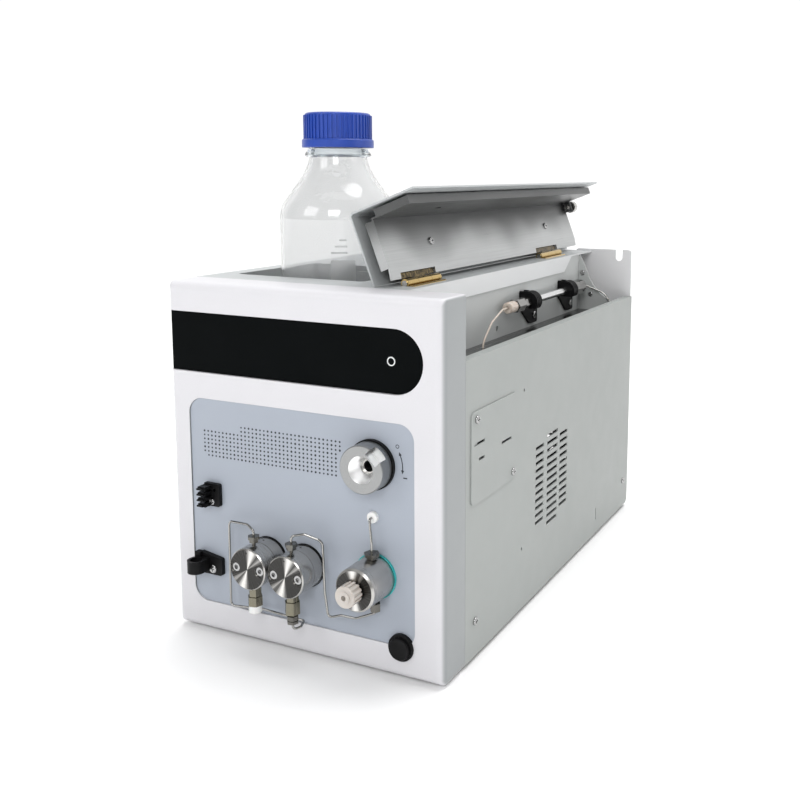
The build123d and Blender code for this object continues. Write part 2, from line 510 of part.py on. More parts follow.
clips = []
for yc in (215.5, 301.0):
    c = cy(qx, qz, 7.3, yc - 6.0, yc + 6.0)
    for k in (-4.5, -1.5, 1.5, 4.5):
        c += cy(qx, qz, 8.3, yc + k - 0.8, yc + k + 0.8)
    c -= bx(qx - 9, qx + 9, yc - 7, yc + 7, qz - 9, qz - 5.2) - bx(lx, lx + 3.2, yc - 8, yc + 8, qz - 9, qz - 5)
    c -= bx(lx - 3, lx + 1.2, yc - 8, yc + 8, qz - 10, qz + 10)
    c += bx(lx + 1.2, qx, yc - 6.0, yc + 6.0, qz - 2.0, qz + 7.3)
    c += bx(lx + 1.2, qx - 3.0, yc - 5.3, yc - 3.7, qz + 7.0, qz + 8.3) + bx(lx + 1.2, qx - 3.0, yc + 3.7, yc + 5.3, qz + 7.0, qz + 8.3)
    foot = make_face(Polyline((yc - 6.0, qz), (yc - 6.0, 209.4), (yc + 12.0, 195.6), (yc + 14.0, 195.2), (yc + 26.6, 195.2), (yc + 27.8, 196.4),
                              (yc + 27.8, 206.2), (yc + 26.6, 207.4), (yc + 14.0, 207.4), (yc + 6.0, 211.0), (yc + 6.0, qz), close=True))
    c += Plane(origin=(lx + 1.2, 0, 0), x_dir=(0, 1, 0), z_dir=(1, 0, 0)) * extrude(foot, 2.0)
    c -= cy(qx, qz, CR + 0.02, yc - 8, yc + 8)
    c -= cx(yc + 20.8, WALL_Z, 1.55, lx, lx + 5)
    clips.append(c)
N["column_clips"] = comp(*clips)

N["column_inlet_tube"] = tube([(qx, 177.0, qz), (qx, 161.0, qz), (qx, 142.0, 208.4), (qx, 127.0, 195.5), (qx, 127.0, 180.0)], [12.0, 12.0, 9.0], 0.7)
N["column_outlet_tube"] = tube([(qx, 334.0, qz), (qx, 344.6, qz), (197.0, 346.0, 208.6), (203.4, 346.0, 200.0), (203.4, 346.0, 180.0)], [2.4, 8.0, 5.0], 0.7)

# ---------------------------------------------------------------- pump heads


def port(x, z_from, z_to, r):
    return cz(x, PORT_Y, r, z_from, z_to)


HZ = HEAD_L[1]
heads = {}
for nm, (ax, az) in (("left", HEAD_L), ("right", HEAD_RT)):
    h = cy(ax, az, HEAD_R, HEAD_FRONT, HEAD_SPLIT)
    h = chamfer(h.faces().sort_by(Axis.Y)[0].edges(), 0.7)
    h -= cy(ax, az, 1.66, HEAD_FRONT + 2.5, HEAD_SPLIT + 1)
    h -= cz(ax, PORT_Y, 1.2, az + 3.0, az + 20) + cz(ax, PORT_Y, 3.05, az - 20, az - 6.5)
    h -= cz(ax, PORT_Y, 0.5, az - 7.0, az + 4.0)
    for s in (-1, 1):
        h -= cy(ax + s * HEAD_SCREW, az, 3.4, HEAD_FRONT - 1, HEAD_FRONT + 4.4)
        h -= cy(ax + s * HEAD_SCREW, az, 2.0, HEAD_FRONT, HEAD_SPLIT + 1)
    h -= cy(ax - 0.4, az + 11.0, 0.6, HEAD_FRONT - 1, HEAD_FRONT + 1.5)
    heads[nm] = one(h)
N["left_pump_head"] = heads["left"]
N["right_pump_head"] = heads["right"]

sh = []
for ax, az in (HEAD_L, HEAD_RT):
    s = cy(ax, az, HEAD_R - 0.05, HEAD_SPLIT + 0.35, HEAD_BACK) + cy(ax, az, HEAD_R - 0.35, HEAD_SPLIT, HEAD_SPLIT + 0.35)
    s += cy(ax, az, NECK_R, HEAD_BACK, 4.6)
    s -= cy(ax, az, 1.66, HEAD_SPLIT - 1, 6)
    for q in (-1, 1):
        s -= cy(ax + q * HEAD_SCREW, az, 2.0, HEAD_SPLIT - 1, 6)
    s -= cz(ax, -4.5, 0.7, az + 10, az + 16)
    sh.append(s)
N["seal_housings"] = comp(*sh)

cl = []
for ax, az in (HEAD_L, HEAD_RT):
    cl.append(cy(ax, az, HEAD_R + 0.7, 0.3, 1.0) - cy(ax, az, HEAD_R + 0.25, -1, 2))

hs = []
for ax, az in (HEAD_L, HEAD_RT):
    for q in (-1, 1):
        x = ax + q * HEAD_SCREW
        s = cy(x, az, 3.2, HEAD_FRONT + 0.8, HEAD_FRONT + 4.4) + cy(x, az, 1.95, HEAD_FRONT + 4.4, 14.0)
        s = chamfer(s.faces().sort_by(Axis.Y)[0].edges(), 0.4)
        s -= hexy(x, az, 3.0, HEAD_FRONT, HEAD_FRONT + 2.8, 15)
        hs.append(s)
N["pump_head_screws"] = comp(*hs)

# ---------------------------------------------------------------- check valves, nuts, plug
cv = []
for ax in (HEAD_L[0], HEAD_RT[0]):
    zs = 41.2 if ax == HEAD_L[0] else 43.4
    v = hexz(ax, PORT_Y, 8.9, 35.0, zs, 14) + hexz(ax, PORT_Y, 7.6, zs, 47.3, 14) + cz(ax, PORT_Y, 3.0, 47.3, HZ - 6.6)
    v = v - cz(ax, PORT_Y, 1.75, 34.0, 40.0) - cz(ax, PORT_Y, 0.5, 39.0, HZ)
    cv.append(v)
N["check_valves"] = comp(*cv)


def nut_z(x, y, steps, zn, rn=1.7, turn=0):
    """tube nut made of hexagons (across flats, z0, z1), its neck reaching zn"""
    lo, hi = min(q[1] for q in steps), max(q[2] for q in steps)
    s = cz(x, y, rn, min(lo, zn), max(hi, zn))
    for af, z0, z1 in steps:
        s += hexz(x, y, af, z0, z1, turn)
    s -= cz(x, y, TUBE_R, 0, 300)
    return s


tn = [nut_z(HEAD_L[0], PORT_Y, [(7.2, 80.2, 82.2), (5.6, 78.0, 80.2)], 66.5, 1.15, 8),
      nut_z(HEAD_RT[0], PORT_Y, [(7.2, 80.2, 82.2), (5.6, 78.0, 80.2)], 66.5, 1.15, 20),
      nut_z(HEAD_RT[0], PORT_Y, [(7.0, 28.4, 30.2), (6.0, 30.2, 31.0), (7.0, 31.0, 33.6)], 39.5, 1.7, 10)]
tn += [nut_z(PURGE_UP_X, PURGE_PORT_Y, [(9.0, 80.6, 82.4), (6.6, 78.7, 80.6)], 70.5, 1.7, 12),
       nut_z(PURGE_LOW_X, PURGE_PORT_Y, [(6.0, 44.6, 49.8)], 58.2, 1.15, 5)]
N["tube_nuts"] = comp(*tn)
plug = cz(HEAD_L[0], PORT_Y, 4.3, 29.8, 35.0) + cz(HEAD_L[0], PORT_Y, 1.7, 35.0, 39.5)
plug = fillet(plug.faces().sort_by(Axis.Z)[0].edges(), 0.8)
N["inlet_plug"] = one(plug)

# ---------------------------------------------------------------- capillaries
py = PORT_Y
N["crossover_tube"] = tube([(HEAD_L[0], py, 70.0), (HEAD_L[0], py, 85.4), (72.4, -11.2, 87.6), (52.0, -5.2, 84.6), (51.4, -5.0, 24.6),
                            (78.0, -3.6, 26.6), (111.3, -4.6, 25.8), (112.9, -10.4, 24.6), (HEAD_RT[0], py, 23.6), (HEAD_RT[0], py, 36.0)],
                           [2.6, 9.0, 4.0, 3.0, 8.0, 1.6, 1.6, 2.2])
N["outlet_tube"] = tube([(HEAD_RT[0], py, 70.0), (HEAD_RT[0], py, 87.0), (117.5, -11.2, 88.4), (128.6, -7.0, 84.0), (128.9, -6.0, 50.0),
                         (131.4, -6.0, 32.8), (141.0, -6.0, 36.4), (152.4, -6.0, 36.6), (PURGE_LOW_X, PURGE_PORT_Y, 43.2),
                         (PURGE_LOW_X, PURGE_PORT_Y, 54.0)],
                        [3.0, 3.0, 5.0, 20.0, 2.6, 6.0, 8.0, 2.0])
N["riser_tube"] = tube([(PURGE_UP_X, PURGE_PORT_Y, 74.0), (PURGE_UP_X, PURGE_PORT_Y, 88.0), (GROM[0], -4.1, GROM[1]), (GROM[0], 12.0, GROM[1])], [12.0, 1.8])
g = cy(GROM[0], GROM[1], 3.7, -1.7, 1.0) + cy(GROM[0], GROM[1], 2.5, 1.0, 4.6) + cy(GROM[0], GROM[1], 3.2, 4.6, 6.0)
g = fillet(g.faces().sort_by(Axis.Y)[0].edges(), 0.8)
g -= cy(GROM[0], GROM[1], TUBE_R + 0.05, -5, 10)
N["tube_grommet"] = one(g)

# ---------------------------------------------------------------- purge valve
ax, az = PURGE
pv = cy(ax, az, PURGE_R, PURGE_FRONT, 1.0) + cy(ax, az, NECK_R, 1.0, 14.0)
pv = chamfer(pv.faces().sort_by(Axis.Y)[0].edges(), 1.3)
pv -= cy(ax, az, 7.6, PURGE_FRONT - 1, PURGE_FRONT + 0.6)
pv -= cy(ax, az, 3.07, PURGE_FRONT - 1, PURGE_FRONT + 12)
pv -= cz(PURGE_UP_X, PURGE_PORT_Y, 1.75, az + 5.8, az + 20) + cz(PURGE_LOW_X, PURGE_PORT_Y, 1.2, az - 20, az - 6.4)
pv -= cz((PURGE_UP_X + PURGE_LOW_X) / 2, PURGE_PORT_Y, 0.5, az - 7.0, az + 7.0)
N["purge_valve_body"] = one(pv)
N["purge_valve_collar"] = cy(ax, az, PURGE_R + 1.0, -0.3, 1.0) - cy(ax, az, PURGE_R + 0.3, -2, 2)
kb = cy(ax, az, 6.9, -35.8, -26.2) + cy(ax, az, 5.6, -26.2, -25.4) + cy(ax, az, 3.0, -25.4, PURGE_FRONT + 11.4)
kb = chamfer(kb.faces().sort_by(Axis.Y)[0].edges(), 0.7)
for i in range(14):
    a = 2 * math.pi * (i + 0.5) / 14
    fl = bx(6.1, 8.0, -34.6, -25.0, -0.75, 0.75)
    kb -= Pos(ax, 0, az) * (Rot(0, -math.degrees(a), 0) * fl)
kb += cy(ax, az, 4.0, -36.5, -35.8)
kb -= cy(ax, az, 1.7, -39, -33.0)
N["purge_knob"] = one(kb)

# ---------------------------------------------------------------- injection valve
ax, az = INJ
ib = cy(ax, az, 15.0, 4.6, 38.0) + cy(ax, az, 8.2, -1.5, 4.6) + cy(ax, az, 4.6, -3.4, -1.5)
ib -= cy(ax, az, 3.7, -6, 4.0) + cy(ax, az, 0.75, 3.5, 15.0)
for i in range(6):
    a = math.radians(60 * i + 30)
    ib -= cy(ax + 10.5 * math.cos(a), az + 10.5 * math.sin(a), 1.9, 30.0, 39.0)
N["injector_body"] = one(ib)
cl.append(cy(ax, az, 16.3, -1.5, 1.0) - cy(ax, az, 8.2, -2, 2))
N["valve_collars"] = comp(*cl)
kn = cy(ax, az, INJ_R, -13.2, -1.8)
kn = chamfer(kn.faces().sort_by(Axis.Y)[0].edges(), 0.5)
kn -= cone_y(ax, az, 8.9, 4.9, -13.3, -5.6)
kn -= cy(ax, az, 4.66, -6.0, -1.0)
slot = bx(9.8, 18, -14, -6.2, -5.0, 5.0)
kn -= Pos(ax, 0, az) * (Rot(0, -45, 0) * slot)
kn -= cy(ax, az, 15.9, -3.9, -3.4) - cy(ax, az, 15.0, -3.9, -3.4)
N["injector_knob"] = one(kn)

# ---------------------------------------------------------------- clips on the panel
cb = bx(28.6, 41.4, -2.0, 1.0, 91.4, 107.2)
cb = fillet(cb.edges().filter_by(Axis.Y).sort_by(Axis.X)[-2:], 1.2)
for i in range(4):
    zc = 93.4 + i * 3.87
    b = prism_xz([(28.6, zc - 1.15), (35.0, zc - 1.15), (35.0, zc + 1.15), (28.6, zc + 1.15)], -8.6, -2.0)
    tip = prism_xz([(29.2, zc - 0.55), (34.4, zc - 0.55), (34.4, zc + 0.55), (29.2, zc + 0.55)], -10.6, -8.6)
    cb += b + tip
cb -= cy(CLIP_SCREWS[0][0], CLIP_SCREWS[0][1], 1.55, -13, 2)
cb -= cy(CLIP_SCREWS[0][0], CLIP_SCREWS[0][1], 2.3, -13, -2.0)
cb -= cy(37.4, 102.8, 1.2, -3, 2)
N["tube_comb"] = one(cb)

rx, ry = 25.6, -9.0
sc = bx(24.0, 42.0, -2.4, 1.0, 42.4, 57.4)
sc -= Pos(0, 0, 0) * prism_xz([(24.0, 58), (24.0, 57.4), (42.5, 54.4), (42.5, 58)], -3, 2)
sc = fillet(sc.edges().filter_by(Axis.Y).sort_by(Axis.X)[-2:], 1.4)
sc += cz(rx, ry, 6.1, 45.4, 54.0)
sc += bx(21.6, 31.6, -9.0, -2.4, 45.4, 54.0) + bx(20.4, 25.0, -4.6, -2.0, 45.4, 57.4)
sc += bx(20.4, 25.0, -2.4, -0.2, 45.4, 57.4)
sc -= cz(rx, ry, 4.2, 40, 60)
sc -= cy(CLIP_SCREWS[1][0], CLIP_SCREWS[1][1], 1.55, -5, 2)
N["syringe_clip"] = one(sc)

# ---------------------------------------------------------------- power button
bb = cy(BTN[0], BTN[1], 8.9, -1.8, 9.0)
bb = fillet(bb.faces().sort_by(Axis.Y)[0].edges(), 0.7)
bb += cy(BTN[0], BTN[1], 10.8, 4.8, 7.0)
bb -= cy(BTN[0], BTN[1], BTN_R + 0.1, -3, 7.5)
bb -= cy(BTN[0], BTN[1], 3.0, 6, 10)
N["button_bezel"] = one(bb)
pb = cy(BTN[0], BTN[1], BTN_R, -4.2, 4.6) + cy(BTN[0], BTN[1], 2.9, 4.6, 9.0)
pb = fillet(pb.faces().sort_by(Axis.Y)[0].edges(), 0.8)
pb -= Pos(BTN[0], -4.2 - 24.0, BTN[1]) * Sphere(24.9)
N["power_button"] = one(pb)

# ---------------------------------------------------------------- pump drive
dr = bx(58.0, 132.6, 4.6, 58.0, 38.0, 86.0)
dr = fillet(dr.edges().filter_by(Axis.Y), 4.0)
for ax, az in (HEAD_L, HEAD_RT):
    dr -= cy(ax, az, 5.06, 3.0, 46.0)
    for q in (-1, 1):
        dr -= cy(ax + q * HEAD_SCREW, az, 2.0, 3.0, 16.0)
dr -= cx(52.0, 62.0, 10.0, 57.0, 60.0)
dr += bx(64.0, 126.0, 33.0, 53.0, 1.5, 38.0)
N["pump_drive_housing"] = one(dr)
for nm, (ax, az) in (("left_plunger", HEAD_L), ("right_plunger", HEAD_RT)):
    p = cy(ax, az, 1.6, -13.0, 14.0) + cy(ax, az, 3.2, 14.0, 20.0) + cy(ax, az, 5.0, 20.0, 44.0)
    p = chamfer(p.faces().sort_by(Axis.Y)[0].edges(), 0.3)
    N[nm] = one(p)
mo = bx(74.3, 116.3, 58.0, 104.0, 41.0, 83.0)
mo = chamfer(mo.edges().filter_by(Axis.Y), 4.0)
mo += cy(95.3, 62.0, 11.0, 104.0, 106.0)
N["drive_motor"] = one(mo)

# ---------------------------------------------------------------- detector, boards, supply, fan, inlet
de = bx(136.0, 204.0, 70.0, 138.0, 20.0, 92.0)
de = fillet(de.edges().filter_by(Axis.Z), 3.0)
de += cy(170.0, 56.0, 12.0, 60.0, 70.0) + bx(140.0, 200.0, 74.0, 134.0, 1.5, 20.0)
de -= cy(170.0, 56.0, 4.0, 59.0, 66.0)
lm = bx(146.0, 194.0, 138.0, 178.0, 34.0, 78.0)
for i in range(6):
    lm -= bx(145.0, 195.0, 143.0 + i * 5.5, 146.0 + i * 5.5, 62.0, 79.0)
N["detector_unit"] = one(de + lm)
pcb = bx(22.0, 23.6, 60.0, 230.0, 30.0, 160.0)
pcb += bx(23.6, 31.0, 70.0, 100.0, 120.0, 150.0) + bx(23.6, 26.0, 120.0, 150.0, 70.0, 100.0) + bx(23.6, 36.0, 200.0, 224.0, 40.0, 60.0)
for y_, z_ in ((66, 36), (224, 36), (66, 154), (224, 154)):
    pcb += cx(y_, z_, 3.0, SHEET, 22.0)
N["main_board"] = one(pcb)
ps = bx(20.0, 110.0, 262.0, 350.0, 1.5, 42.0)
for i in range(8):
    ps -= bx(28.0 + i * 9.5, 32.0 + i * 9.5, 270.0, 342.0, 40.0, 43.0)
N["power_supply"] = one(ps)
fy0, fy1 = 362.0, CASE_D - SHEET
ff = bx(FAN[0] - 30, FAN[0] + 30, fy0, fy1, FAN[1] - 30, FAN[1] + 30)
ff = fillet(ff.edges().filter_by(Axis.Y), 4.0)
ff -= cy(FAN[0], FAN[1], FAN_R + 1.0, fy0 - 1, fy1 + 1)
ff += cy(FAN[0], FAN[1], 9.0, fy0, fy0 + 3.0)
for i in range(4):
    a = 45 + 90 * i
    arm = bx(7.0, 29.0, fy0, fy0 + 3.0, -1.6, 1.6)
    ff += Pos(FAN[0], 0, FAN[1]) * (Rot(0, -a, 0) * arm)
ff += cy(FAN[0], FAN[1], 1.5, fy0 + 3.0, fy1 - 4.0)
for sx, sz in FAN_SCREWS:
    ff -= cy(sx, sz, 1.5, fy0 - 1, fy1 + 1)
N["fan_frame"] = one(ff)
ro = cy(FAN[0], FAN[1], 10.0, fy0 + 4.0, fy1 - 2.5)
for i in range(7):
    a = 360.0 / 7 * i
    bl = Pos(17.0, (fy0 + fy1) / 2 + 1.0, 0) * (Rot(38, 0, 0) * Box(17.0, 13.0, 1.4))
    ro += Pos(FAN[0], 0, FAN[1]) * (Rot(0, -a, 0) * bl)
ro -= cy(FAN[0], FAN[1], 1.55, fy0, fy1 - 3.9)
ro &= cy(FAN[0], FAN[1], FAN_R, fy0 + 3.6, fy1 - 1.5)
N["fan_rotor"] = one(ro)
inn = bx(INLET[0] - 13.8, INLET[0] + 13.8, CASE_D - 22.0, CASE_D, INLET[1] - 10.1, INLET[1] + 10.1)
inn += plate_xz(INLET[0] - 25.0, INLET[0] + 25.0, INLET[1] - 12.5, INLET[1] + 12.5, 3.0, CASE_D, CASE_D + 1.6)
inn -= bx(INLET[0] - 11.5, INLET[0] + 11.5, CASE_D - 16.0, CASE_D + 3, INLET[1] - 7.8, INLET[1] + 7.8)
for dx in (-7.0, 0.0, 7.0):
    inn += bx(INLET[0] + dx - 1.0, INLET[0] + dx + 1.0, CASE_D - 18.0, CASE_D - 4.0, INLET[1] - 2.0 + (2.5 if dx == 0 else 0), INLET[1] + 2.0 + (2.5 if dx == 0 else 0))
for sx in (-20.0, 20.0):
    inn -= cy(INLET[0] + sx, INLET[1], 3.1, CASE_D - 3, CASE_D + 3)
N["power_inlet"] = one(inn)

# ---------------------------------------------------------------- move to the origin and write
big = None
for s in N.values():
    b = s.bounding_box()
    lo, hi = (b.min.X, b.min.Y, b.min.Z), (b.max.X, b.max.Y, b.max.Z)
    big = (lo, hi) if big is None else (tuple(map(min, big[0], lo)), tuple(map(max, big[1], hi)))
SHIFT = (-(big[0][0] + big[1][0]) / 2, -(big[0][1] + big[1][1]) / 2, -big[0][2])
PARTS = {}
for name, s in N.items():
    PARTS[name] = Pos(*SHIFT) * s
    export_step(PARTS[name], "parts/" + name + ".step")
print("shift", SHIFT, "box", big, "nodes", len(PARTS))
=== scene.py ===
import bpy, bmesh, math
from mathutils import Matrix, Vector


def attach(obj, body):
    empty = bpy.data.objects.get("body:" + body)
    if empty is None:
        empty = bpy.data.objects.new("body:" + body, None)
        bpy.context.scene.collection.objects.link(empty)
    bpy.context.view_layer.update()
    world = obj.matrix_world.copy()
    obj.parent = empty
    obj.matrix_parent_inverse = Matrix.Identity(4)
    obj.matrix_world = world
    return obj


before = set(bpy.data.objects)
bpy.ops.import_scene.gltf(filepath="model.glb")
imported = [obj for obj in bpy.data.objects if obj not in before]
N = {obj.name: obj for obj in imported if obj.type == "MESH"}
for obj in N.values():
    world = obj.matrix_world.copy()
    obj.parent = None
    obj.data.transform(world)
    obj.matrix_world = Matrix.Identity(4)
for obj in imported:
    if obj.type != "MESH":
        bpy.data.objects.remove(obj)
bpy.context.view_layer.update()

# layout millimetres (x from the left side, y from the front, z from the underside) to metres in the row frame
SH = (-106.45, -178.25, 2.5)


def P(x, y, z):
    return Vector(((x + SH[0]) / 1000, (y + SH[1]) / 1000, (z + SH[2]) / 1000))


# ------------------------------------------------------------------ camera
yaw, pitch, roll = math.radians(25.004), math.radians(7.832), math.radians(0.3466)
f = Vector((-math.sin(yaw) * math.cos(pitch), math.cos(yaw) * math.cos(pitch), -math.sin(pitch)))
r0 = Vector((math.cos(yaw), math.sin(yaw), 0))
u0 = r0.cross(f)
r = math.cos(roll) * r0 + math.sin(roll) * u0
u = -math.sin(roll) * r0 + math.cos(roll) * u0
cam_d = bpy.data.cameras.new("cam")
cam = bpy.data.objects.new("cam", cam_d)
bpy.context.scene.collection.objects.link(cam)
loc = P(474.9, -501.9, 319.2)
cam.matrix_world = Matrix(((r.x, u.x, -f.x, loc.x), (r.y, u.y, -f.y, loc.y), (r.z, u.z, -f.z, loc.z), (0, 0, 0, 1)))
cam_d.sensor_width = 36.0
cam_d.sensor_fit = "HORIZONTAL"
cam_d.lens = 972.67 * 36.0 / 800.0
cam_d.shift_x = -(487.83 - 400.0) / 800.0
cam_d.shift_y = (304.65 - 400.0) / 800.0
cam_d.clip_start = 0.02
cam_d.clip_end = 50.0
bpy.context.scene.camera = cam
bpy.context.scene.view_settings.view_transform = "Standard"


# ------------------------------------------------------------------ node helpers
class Nt:
    def __init__(self, name):
        self.m = bpy.data.materials.new(name)
        self.m.use_nodes = True
        self.t = self.m.node_tree
        self.t.nodes.clear()
        self.out = self.t.nodes.new("ShaderNodeOutputMaterial")
        self.b = self.t.nodes.new("ShaderNodeBsdfPrincipled")
        self.t.links.new(self.b.outputs[0], self.out.inputs[0])
        self.co = self.t.nodes.new("ShaderNodeTexCoord").outputs["Object"]

    def n(self, kind, **kw):
        x = self.t.nodes.new(kind)
        for k, v in kw.items():
            setattr(x, k, v)
        return x

    def link(self, a, b):
        self.t.links.new(a, b)

    def mapped(self, scale, loc=(0, 0, 0), rot=(0, 0, 0)):
        m = self.n("ShaderNodeMapping")
        m.inputs["Scale"].default_value = scale
        m.inputs["Location"].default_value = loc
        m.inputs["Rotation"].default_value = rot
        self.link(self.co, m.inputs["Vector"])
        return m.outputs[0]

    def noise(self, scale, detail=2.0, rough=0.5, co=None):
        x = self.n("ShaderNodeTexNoise")
        x.inputs["Scale"].default_value = scale
        x.inputs["Detail"].default_value = detail
        x.inputs["Roughness"].default_value = rough
        self.link(co if co is not None else self.co, x.inputs["Vector"])
        return x.outputs["Fac"]

    def math(self, op, a, b=None, c=None, clamp=False):
        x = self.n("ShaderNodeMath", operation=op, use_clamp=clamp)
        for i, v in enumerate((a, b, c)):
            if v is None:
                continue
            if isinstance(v, (int, float)):
                x.inputs[i].default_value = v
            else:
                self.link(v, x.inputs[i])
        return x.outputs[0]

    def rng(self, v, a, b, lo=0.25, hi=0.75):
        x = self.n("ShaderNodeMapRange")
        x.inputs["From Min"].default_value = lo
        x.inputs["From Max"].default_value = hi
        x.inputs["To Min"].default_value = a
        x.inputs["To Max"].default_value = b
        self.link(v, x.inputs["Value"])
        return x.outputs[0]

    def mix(self, fac, a, b, blend="MIX"):
        x = self.n("ShaderNodeMix", data_type="RGBA", blend_type=blend)
        for key, v in ((0, fac), (6, a), (7, b)):
            if isinstance(v, (int, float)):
                x.inputs[key].default_value = v
            elif isinstance(v, (tuple, list)):
                x.inputs[key].default_value = (*v, 1.0) if len(v) == 3 else v
            else:
                self.link(v, x.inputs[key])
        return x.outputs[2]

    def bump(self, h, strength, dist, normal=None):
        x = self.n("ShaderNodeBump")
        x.inputs["Strength"].default_value = strength
        x.inputs["Distance"].default_value = dist
        self.link(h, x.inputs["Height"])
        if normal is not None:
            self.link(normal, x.inputs["Normal"])
        return x.outputs[0]

    def xyz(self):
        s = self.n("ShaderNodeSeparateXYZ")
        self.link(self.co, s.inputs[0])
        return s.outputs


def scl(c, k):
    return tuple(min(1.0, v * k) for v in c)


def paint(name, col, rough=0.42, peel=0.16, coat=0.0, var=0.04, grime=0.0):
    g = Nt(name)
    big = g.noise(7.0, 3.0, 0.55)
    fine = g.noise(1100.0, 1.0, 0.5)
    c = g.mix(g.rng(big, 0, 1), scl(col, 1 - var), scl(col, 1 + var * 0.5))
    c = g.mix(g.rng(fine, 0, 0.35), c, scl(col, 0.93))
    g.link(c, g.b.inputs["Base Color"])
    g.link(g.rng(g.noise(55.0, 3.0), rough - 0.05, rough + 0.06), g.b.inputs["Roughness"])
    g.b.inputs["Specular IOR Level"].default_value = 0.45
    if coat:
        g.b.inputs["Coat Weight"].default_value = coat
        g.b.inputs["Coat Roughness"].default_value = 0.18
    peelh = g.noise(900.0, 2.0, 0.5)
    wave = g.noise(16.0, 1.0, 0.4)
    n1 = g.bump(wave, 0.10, 0.0006)
    g.link(g.bump(peelh, peel, 0.00006, n1), g.b.inputs["Normal"])
    return g.m


def plastic(name, col, rough=0.38, grain=0.2, scale=1500.0, sss=0.0, spec=0.5, coat=0.0):
    g = Nt(name)
    big = g.noise(45.0, 3.0)
    c = g.mix(g.rng(big, 0, 1), scl(col, 0.90), scl(col, 1.07))
    g.link(c, g.b.inputs["Base Color"])
    g.link(g.rng(g.noise(140.0, 3.0), rough - 0.06, rough + 0.07), g.b.inputs["Roughness"])
    g.b.inputs["Specular IOR Level"].default_value = spec
    if sss:
        g.b.inputs["Subsurface Weight"].default_value = sss
        g.b.inputs["Subsurface Scale"].default_value = 0.0015
        g.b.inputs["Subsurface Radius"].default_value = (1.0, 0.7, 0.5)
    if coat:
        g.b.inputs["Coat Weight"].default_value = coat
        g.b.inputs["Coat Roughness"].default_value = 0.12
    g.link(g.bump(g.noise(scale, 2.0), grain, 0.00005), g.b.inputs["Normal"])
    return g.m


def brushed(name, col, rough=0.34, along=1, streak=0.35, aniso=0.5, dull=0.12, rings=False):
    """metal with grain along axis 0, 1 or 2, or in rings round it"""
    g = Nt(name)
    s = [20.0, 20.0, 20.0] if rings else [1700.0, 1700.0, 1700.0]
    s[along] = 1700.0 if rings else 14.0
    st = g.noise(1.0, 3.0, 0.6, g.mapped(tuple(s)))
    big = g.noise(11.0, 4.0, 0.55)
    c = g.mix(g.rng(st, 0, 1), scl(col, 0.95 if rings else 0.86), scl(col, 1.03 if rings else 1.08))
    c = g.mix(g.rng(big, 0, dull), c, scl(col, 0.55))
    g.link(c, g.b.inputs["Base Color"])
    g.b.inputs["Metallic"].default_value = 1.0
    r1 = g.rng(st, rough - (0.03 if rings else 0.07), rough + (0.03 if rings else 0.09))
    r2 = g.math("ADD", r1, g.rng(big, -0.05, 0.06))
    g.link(r2, g.b.inputs["Roughness"])
    g.b.inputs["Anisotropic"].default_value = aniso
    g.link(g.bump(st, streak, 0.00003), g.b.inputs["Normal"])
    return g.m


def turned(name, col, centre, axis="y", rough=0.30, groove=0.35, aniso=0.75, pitch=2600.0, dark=0.0):
    """lathe-turned metal: rings round an axis at centre, in layout millimetres"""
    g = Nt(name)
    o = g.xyz()
    cx, cz = (centre[0] + SH[0]) / 1000, (centre[1] + SH[2 if axis == "y" else 1]) / 1000
    a = g.math("SUBTRACT", o[0], cx)
    b = g.math("SUBTRACT", o[2] if axis == "y" else o[1], cz)
    rad = g.math("SQRT", g.math("ADD", g.math("MULTIPLY", a, a), g.math("MULTIPLY", b, b)))
    lon = o[1] if axis == "y" else o[2]
    v = g.n("ShaderNodeCombineXYZ")
    g.link(g.math("MULTIPLY", rad, pitch), v.inputs[0])
    g.link(g.math("MULTIPLY", lon, pitch), v.inputs[1])
    ring = g.noise(1.0, 3.0, 0.6, v.outputs[0])
    big = g.noise(130.0, 3.0, 0.55)
    c = g.mix(g.rng(ring, 0, 1), scl(col, 0.84), scl(col, 1.08))
    c = g.mix(g.rng(big, 0, 0.10 + dark), c, scl(col, 0.60))
    g.link(c, g.b.inputs["Base Color"])
    g.b.inputs["Metallic"].default_value = 1.0
    g.link(g.math("ADD", g.rng(ring, rough - 0.06, rough + 0.08), g.rng(big, -0.04, 0.05)), g.b.inputs["Roughness"])
    g.b.inputs["Anisotropic"].default_value = aniso
    if aniso:
        t = g.n("ShaderNodeTangent", direction_type="RADIAL", axis="Y" if axis == "y" else "Z")
        g.link(t.outputs[0], g.b.inputs["Tangent"])
    g.link(g.bump(ring, groove, 0.00003), g.b.inputs["Normal"])
    return g.m


